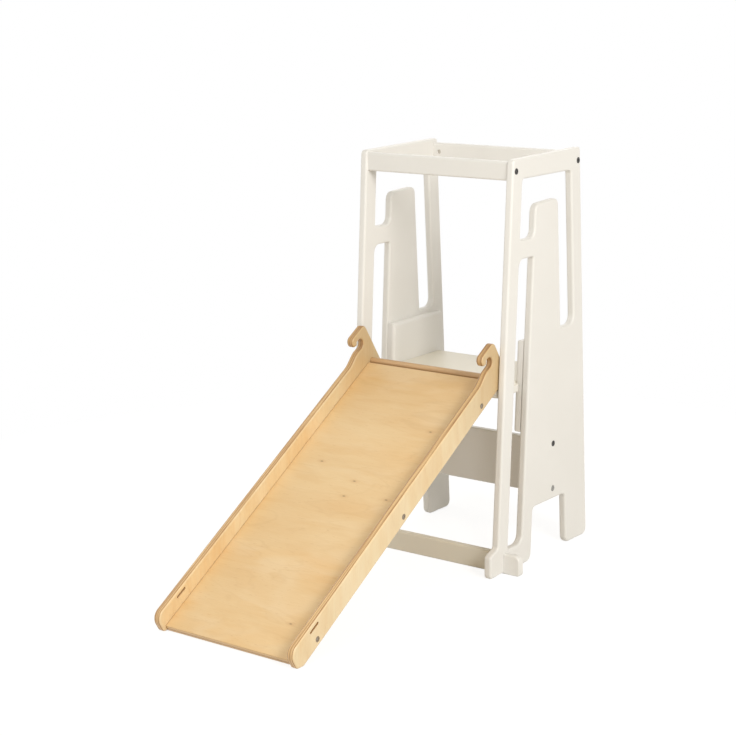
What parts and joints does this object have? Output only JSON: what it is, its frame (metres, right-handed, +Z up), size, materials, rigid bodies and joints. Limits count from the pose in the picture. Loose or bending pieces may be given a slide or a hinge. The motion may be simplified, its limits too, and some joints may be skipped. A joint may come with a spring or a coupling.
{
  "type": "learning tower with slide",
  "caption": "Kitchen learning tower for a child, with slotted side panels, a standing platform and a lift-off slide whose side rails end in hooks.",
  "frame": {"origin": "on the floor, in the middle of the front floor rail's underside", "axes": "+X across the tower towards its right side, +Y from the slide's low end towards the tower's rear, +Z up"},
  "size_m": [0.48, 1.0497, 0.8999],
  "materials": {
    "white_painted_wood": "satin",
    "birch_plywood": "satin",
    "beech_wood": "satin",
    "dark_steel": "satin",
    "zinc_steel": "satin"
  },
  "bodies": {
    "tower": {"left_side_panel": "white_painted_wood", "right_side_panel": "white_painted_wood", "front_top_rail": "white_painted_wood", "rear_top_rail": "white_painted_wood", "front_floor_rail": "white_painted_wood", "low_cross_panel": "white_painted_wood", "platform_board": "white_painted_wood", "left_platform_cheek": "white_painted_wood", "right_platform_cheek": "white_painted_wood", "front_top_rail_bolts": "dark_steel", "rear_top_rail_bolts": "dark_steel", "low_panel_bolts": "dark_steel", "front_top_rail_nuts": "zinc_steel", "rear_top_rail_nuts": "zinc_steel", "low_panel_nuts": "zinc_steel", "top_rail_dowels": "beech_wood", "platform_dowels": "beech_wood", "cheek_screws": "zinc_steel"},
    "slide": {"slide_board": "birch_plywood", "left_slide_rail": "birch_plywood", "right_slide_rail": "birch_plywood", "slide_crossbar": "beech_wood", "left_slide_screws": "zinc_steel", "right_slide_screws": "zinc_steel"}
  },
  "joints": [
    {"name": "slide_lift", "type": "slide", "parent": "tower", "child": "slide", "axis": [0, 0, 1], "range_m": [0, 0.3]}
  ]
}
